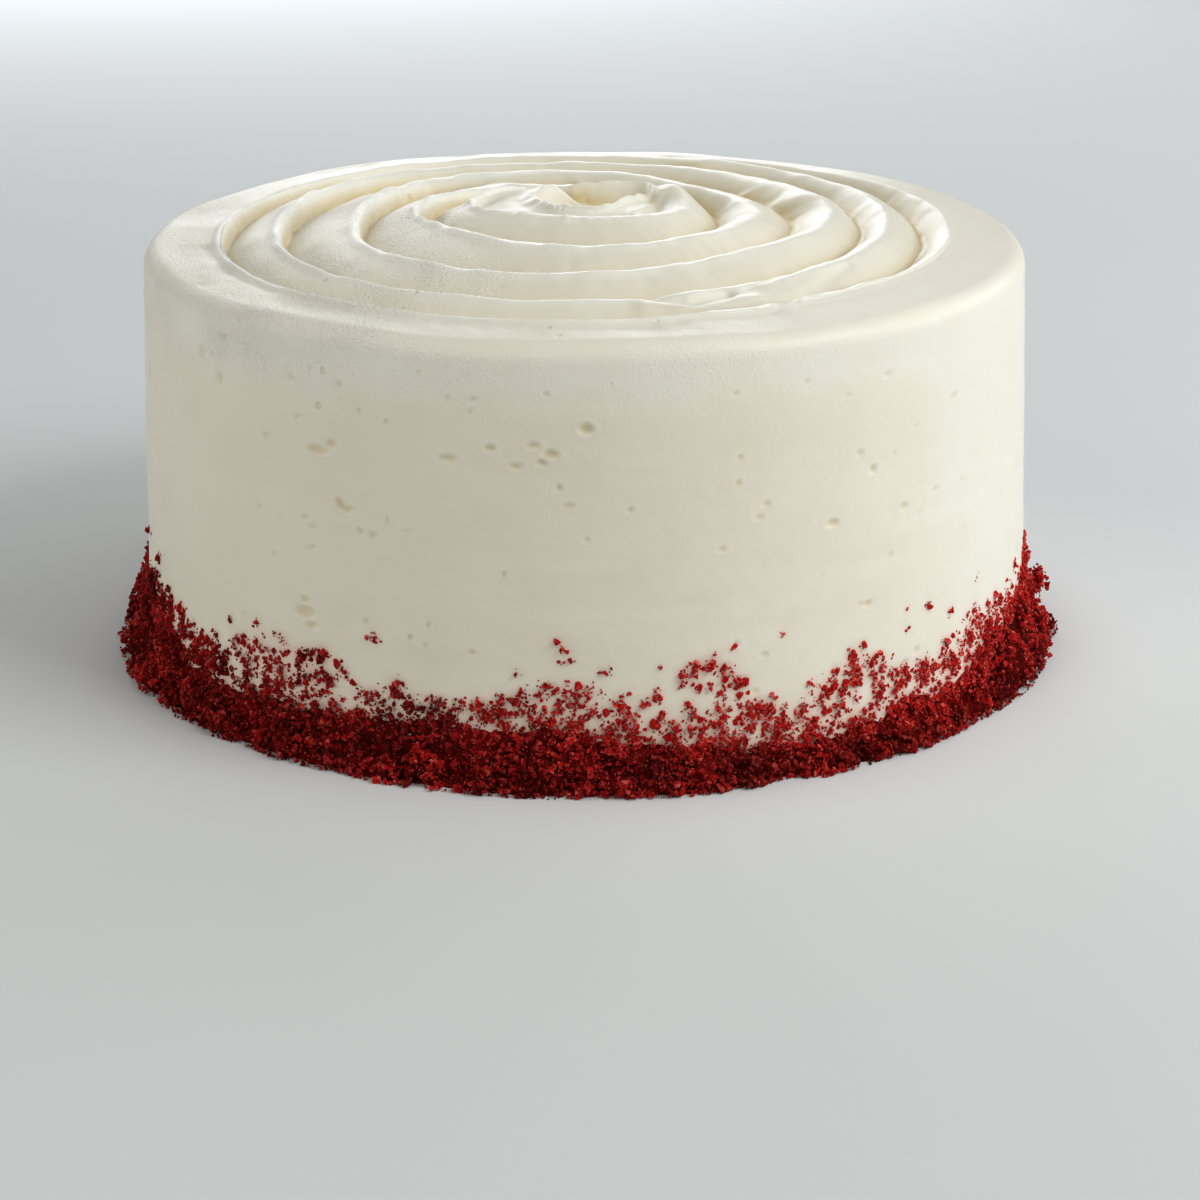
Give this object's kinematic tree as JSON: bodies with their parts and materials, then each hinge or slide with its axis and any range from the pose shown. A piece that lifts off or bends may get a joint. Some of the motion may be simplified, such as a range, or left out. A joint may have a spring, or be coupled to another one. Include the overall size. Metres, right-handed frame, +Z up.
{
  "type": "red velvet cake",
  "caption": "Tall round layer cake under pale frosting, with a spiral groove drawn in its top and red sponge crumbs heaped round its foot.",
  "frame": {"origin": "centre of the cake's flat underside, at the middle of its footprint", "axes": "+Z up through the cake's axis, front towards -Y as first seen, +X to its right"},
  "size_m": [0.2492, 0.2456, 0.1158],
  "materials": {
    "frosting": "satin",
    "crumbs": "matte"
  },
  "bodies": {
    "root": {"frosted_cake": "frosting"}
  },
  "joints": []
}
